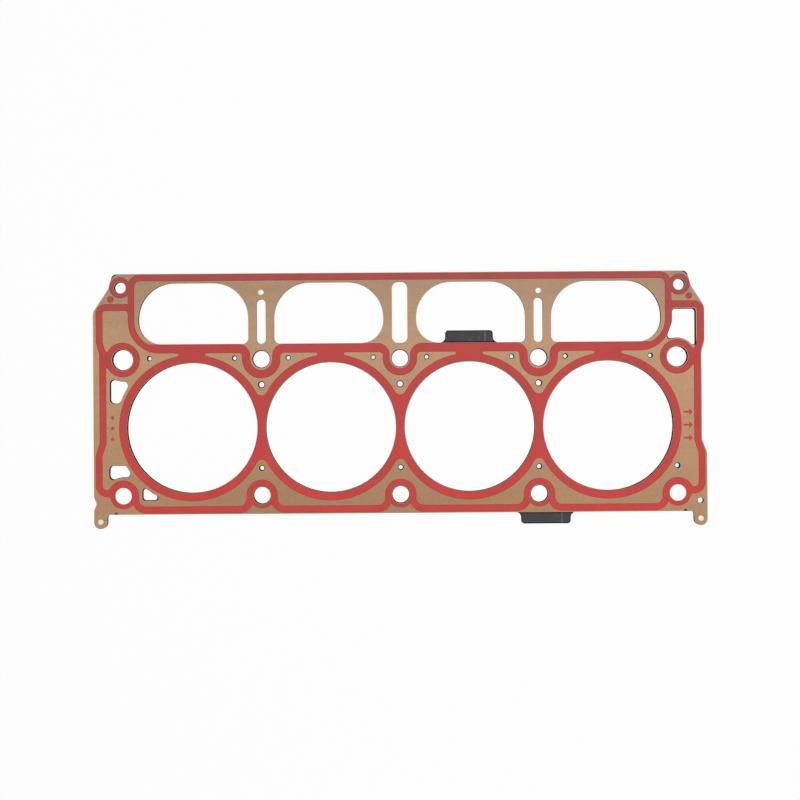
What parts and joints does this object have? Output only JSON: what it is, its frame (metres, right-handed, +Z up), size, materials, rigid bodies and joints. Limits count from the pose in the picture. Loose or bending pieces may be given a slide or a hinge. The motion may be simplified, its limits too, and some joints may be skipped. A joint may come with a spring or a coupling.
{
  "type": "cylinder head gasket",
  "caption": "Flat layered steel cylinder head gasket: red sealing print round bores, bolt holes and pushrod windows on a tan sheet, riveted to a black carrier with tabs.",
  "frame": {"origin": "on the block face, midway along the line through the bore centres, in the web between the two middle bores", "axes": "+X along the row of bores to the front end, +Y across it to the pushrod side, +Z up from the block face to the head"},
  "size_m": [0.4945, 0.2053, 0.0019],
  "materials": {
    "carrier_coat": "matte black coating on steel",
    "head_sheet_coat": "satin tan coating on spring steel",
    "print_rubber": "matte red silicone print",
    "rivet_steel": "bright satin"
  },
  "bodies": {
    "root": {"carrier_sheet": "carrier_coat", "head_sheet": "head_sheet_coat", "sealing_print": "print_rubber", "print_dots": "print_rubber", "rivets": "rivet_steel"}
  },
  "joints": []
}
